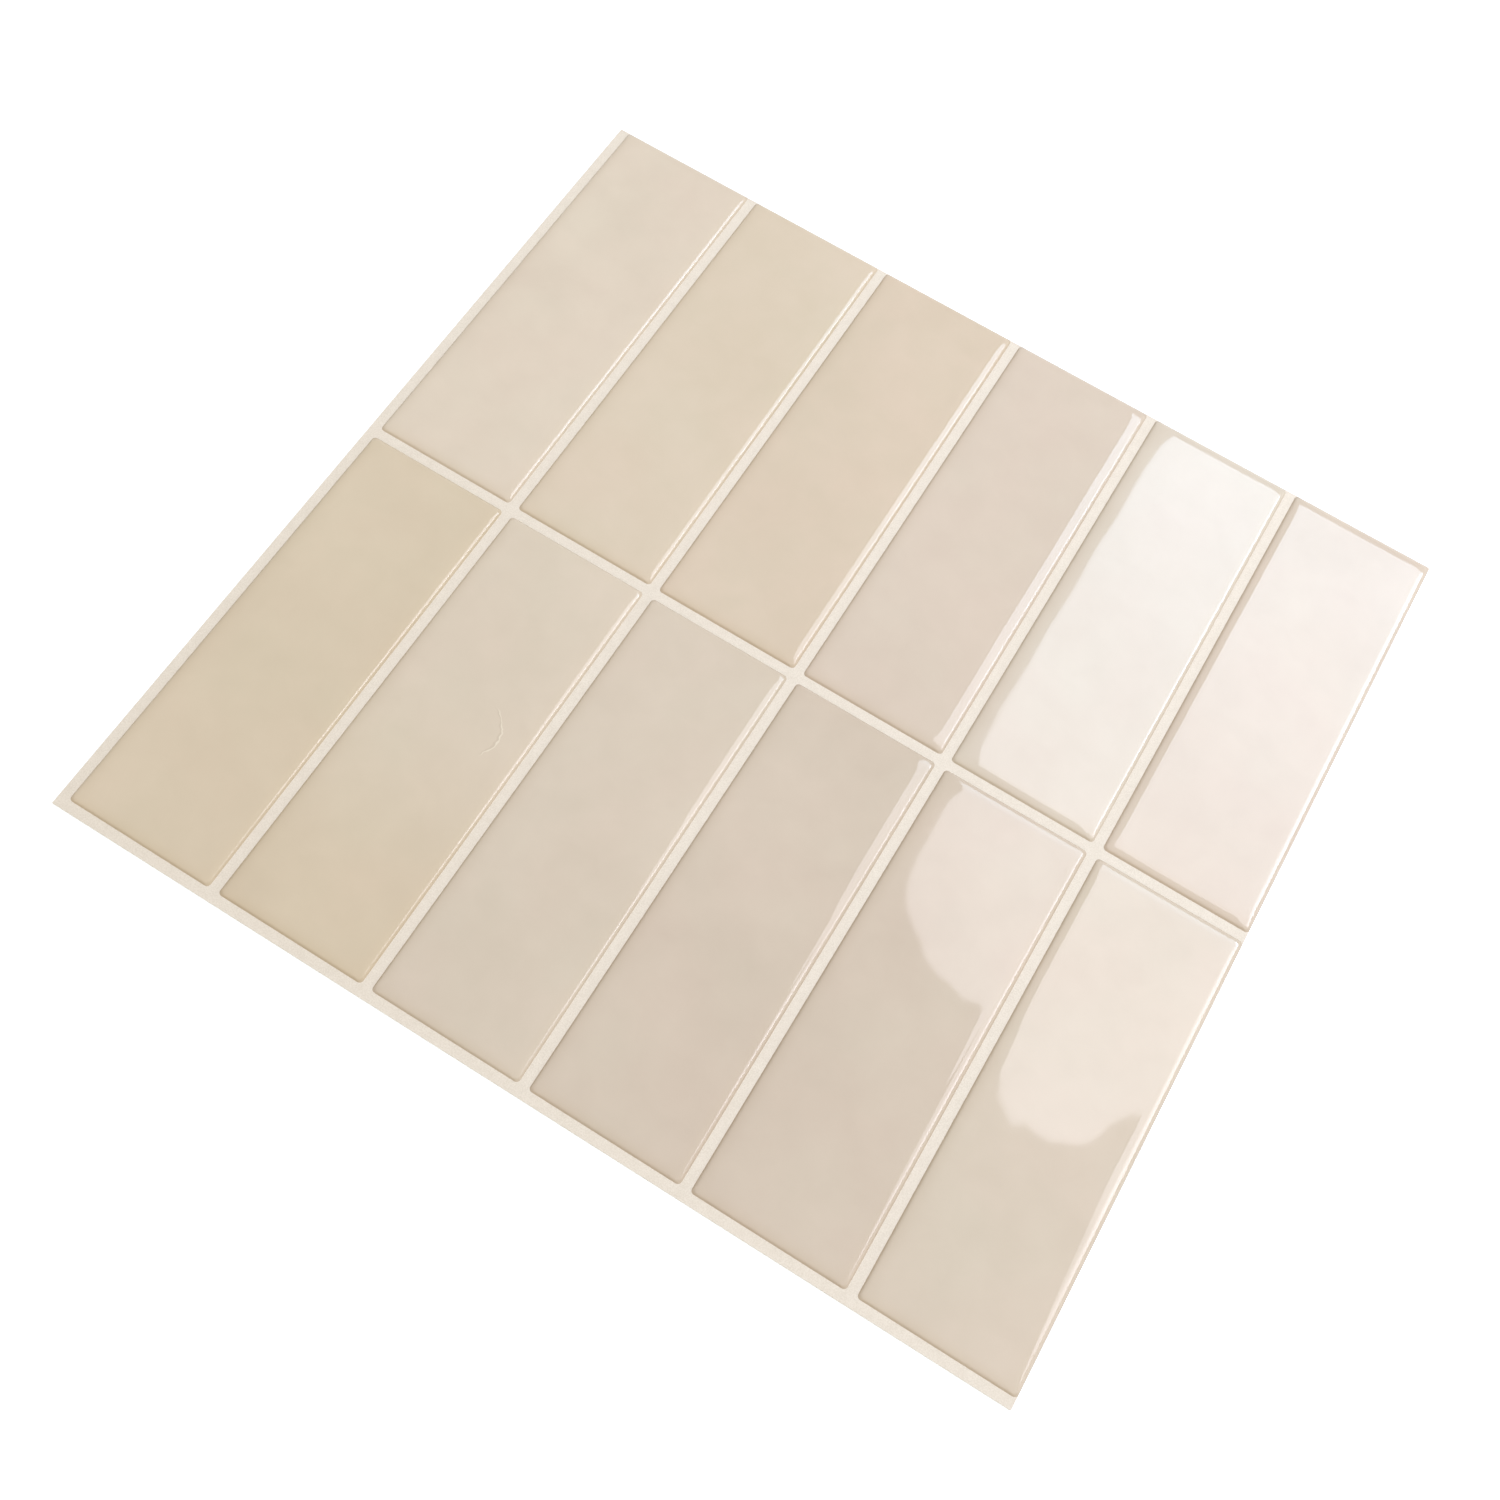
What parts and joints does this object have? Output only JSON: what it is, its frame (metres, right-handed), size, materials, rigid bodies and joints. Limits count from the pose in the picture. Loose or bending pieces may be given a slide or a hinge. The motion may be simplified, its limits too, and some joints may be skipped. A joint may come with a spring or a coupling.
{
  "type": "peel and stick backsplash tile",
  "caption": "Flat rectangular wall sheet of raised, domed gel tiles on a grout-coloured film, with an adhesive back under a peel-off liner.",
  "frame": {"origin": "centre of the sheet's rectangle, on the liner's underside, which lies on the floor", "axes": "+X across the sheet, along a row of tiles; +Y up the sheet as it goes on a wall, along the tiles' length; +Z out of the tiles' face"},
  "size_m": [0.3048, 0.2924, 0.0018],
  "materials": {
    "gel": "clear glossy poured gel over a cloudy beige stone print",
    "film": "matte printed film in a cream grout colour, adhesive on its back",
    "liner": "smooth white release paper"
  },
  "bodies": {
    "root": {"release_liner": "liner", "printed_film": "film", "gel_tile_row1_col1": "gel", "gel_tile_row1_col2": "gel", "gel_tile_row1_col3": "gel", "gel_tile_row1_col4": "gel", "gel_tile_row1_col5": "gel", "gel_tile_row1_col6": "gel", "gel_tile_row2_col1": "gel", "gel_tile_row2_col2": "gel", "gel_tile_row2_col3": "gel", "gel_tile_row2_col4": "gel", "gel_tile_row2_col5": "gel", "gel_tile_row2_col6": "gel"}
  },
  "joints": []
}
